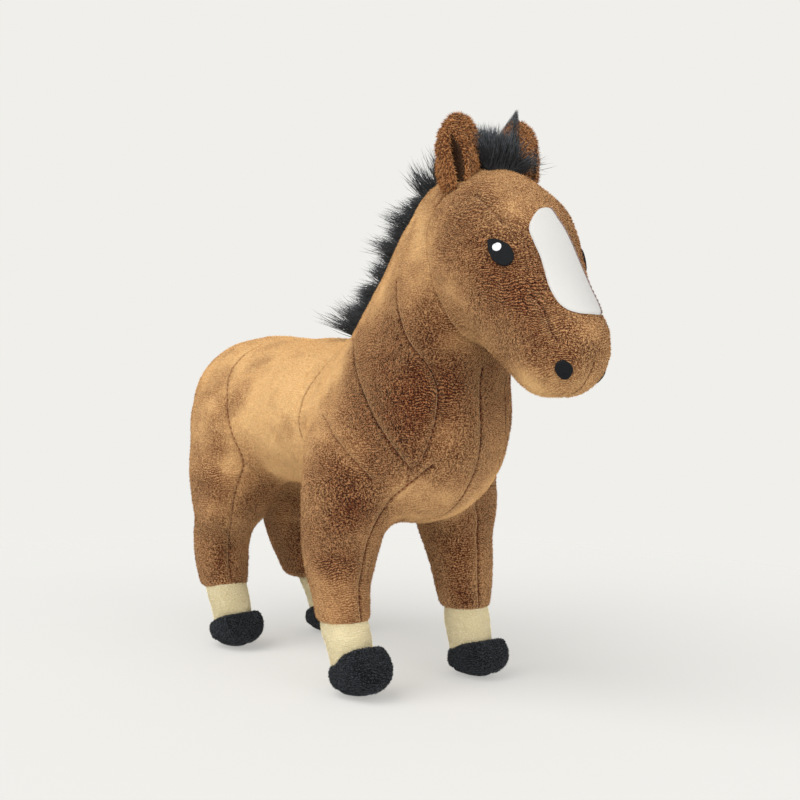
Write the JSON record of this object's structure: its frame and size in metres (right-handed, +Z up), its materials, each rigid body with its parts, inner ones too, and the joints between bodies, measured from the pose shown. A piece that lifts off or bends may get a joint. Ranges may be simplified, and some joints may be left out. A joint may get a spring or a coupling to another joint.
{
  "type": "plush horse",
  "caption": "Standing plush horse with stuffed torso, neck, head and limbs, socks, hooves, folding ears, mane, forelock, hanging tail and embroidered face.",
  "frame": {"origin": "on the floor under the centre of the whole horse's bounding box", "axes": "+X the way the horse faces, +Y its left side, +Z up"},
  "size_m": [0.3562, 0.1184, 0.2987],
  "materials": {
    "tan_plush": "short pile plush, matt",
    "brown_plush": "short pile plush, matt",
    "lining_plush": "short pile plush, matt",
    "cream_plush": "short pile plush, matt",
    "black_plush": "short pile plush, matt",
    "black_fur": "long pile faux fur",
    "pale_fabric": "flat brushed fabric",
    "black_thread": "satin stitch embroidery",
    "white_thread": "satin stitch embroidery",
    "fibre_fill": "loose polyester fibre"
  },
  "bodies": {
    "torso": {"torso_skin": "tan_plush", "torso_stuffing": "fibre_fill", "neck_skin": "brown_plush", "neck_stuffing": "fibre_fill", "mane": "black_fur"},
    "head": {"head_skin": "brown_plush", "head_stuffing": "fibre_fill", "blaze": "pale_fabric", "forelock": "black_fur", "left_eye": "black_thread", "left_eye_glint": "white_thread", "left_nostril": "black_thread", "right_eye": "black_thread", "right_eye_glint": "white_thread", "right_nostril": "black_thread"},
    "front_left_limb": {"front_left_leg": "brown_plush", "front_left_sock": "cream_plush", "front_left_hoof": "black_plush", "front_left_sole": "black_plush", "front_left_stuffing": "fibre_fill"},
    "front_right_limb": {"front_right_leg": "brown_plush", "front_right_sock": "cream_plush", "front_right_hoof": "black_plush", "front_right_sole": "black_plush", "front_right_stuffing": "fibre_fill"},
    "hind_left_limb": {"hind_left_leg": "brown_plush", "hind_left_sock": "cream_plush", "hind_left_hoof": "black_plush", "hind_left_sole": "black_plush", "hind_left_stuffing": "fibre_fill"},
    "hind_right_limb": {"hind_right_leg": "brown_plush", "hind_right_sock": "cream_plush", "hind_right_hoof": "black_plush", "hind_right_sole": "black_plush", "hind_right_stuffing": "fibre_fill"},
    "left_ear": {"left_ear": "brown_plush", "left_ear_lining": "lining_plush"},
    "right_ear": {"right_ear": "brown_plush", "right_ear_lining": "lining_plush"},
    "tail": {"tail": "black_fur"}
  },
  "joints": [
    {"name": "head_nod", "type": "hinge", "parent": "torso", "child": "head", "pos_m": [0.08568, 0, 0.22948], "axis": [0, 1, 0], "range_deg": [-10, 10], "stiffness_Nm_per_rad": 1.2},
    {"name": "front_left_limb_bend", "type": "hinge", "parent": "torso", "child": "front_left_limb", "pos_m": [0.03416, 0, 0.12915], "axis": [0, 1, 0], "range_deg": [-10, 10], "stiffness_Nm_per_rad": 1.6},
    {"name": "front_right_limb_bend", "type": "hinge", "parent": "torso", "child": "front_right_limb", "pos_m": [0.03416, 0, 0.12915], "axis": [0, 1, 0], "range_deg": [-10, 10], "stiffness_Nm_per_rad": 1.6},
    {"name": "hind_left_limb_bend", "type": "hinge", "parent": "torso", "child": "hind_left_limb", "pos_m": [-0.08934, 0, 0.12915], "axis": [0, 1, 0], "range_deg": [-10, 10], "stiffness_Nm_per_rad": 1.6},
    {"name": "hind_right_limb_bend", "type": "hinge", "parent": "torso", "child": "hind_right_limb", "pos_m": [-0.08934, 0, 0.12915], "axis": [0, 1, 0], "range_deg": [-10, 10], "stiffness_Nm_per_rad": 1.6},
    {"name": "left_ear_fold", "type": "hinge", "parent": "head", "child": "left_ear", "pos_m": [0.0991, 0, 0.26614], "axis": [0, 1, 0], "range_deg": [-25, 25], "stiffness_Nm_per_rad": 0.004},
    {"name": "right_ear_fold", "type": "hinge", "parent": "head", "child": "right_ear", "pos_m": [0.0991, 0, 0.26614], "axis": [0, 1, 0], "range_deg": [-25, 25], "stiffness_Nm_per_rad": 0.004},
    {"name": "tail_lift", "type": "hinge", "parent": "torso", "child": "tail", "pos_m": [-0.14231, 0, 0.16609], "axis": [0, 1, 0], "range_deg": [0, 70]}
  ]
}
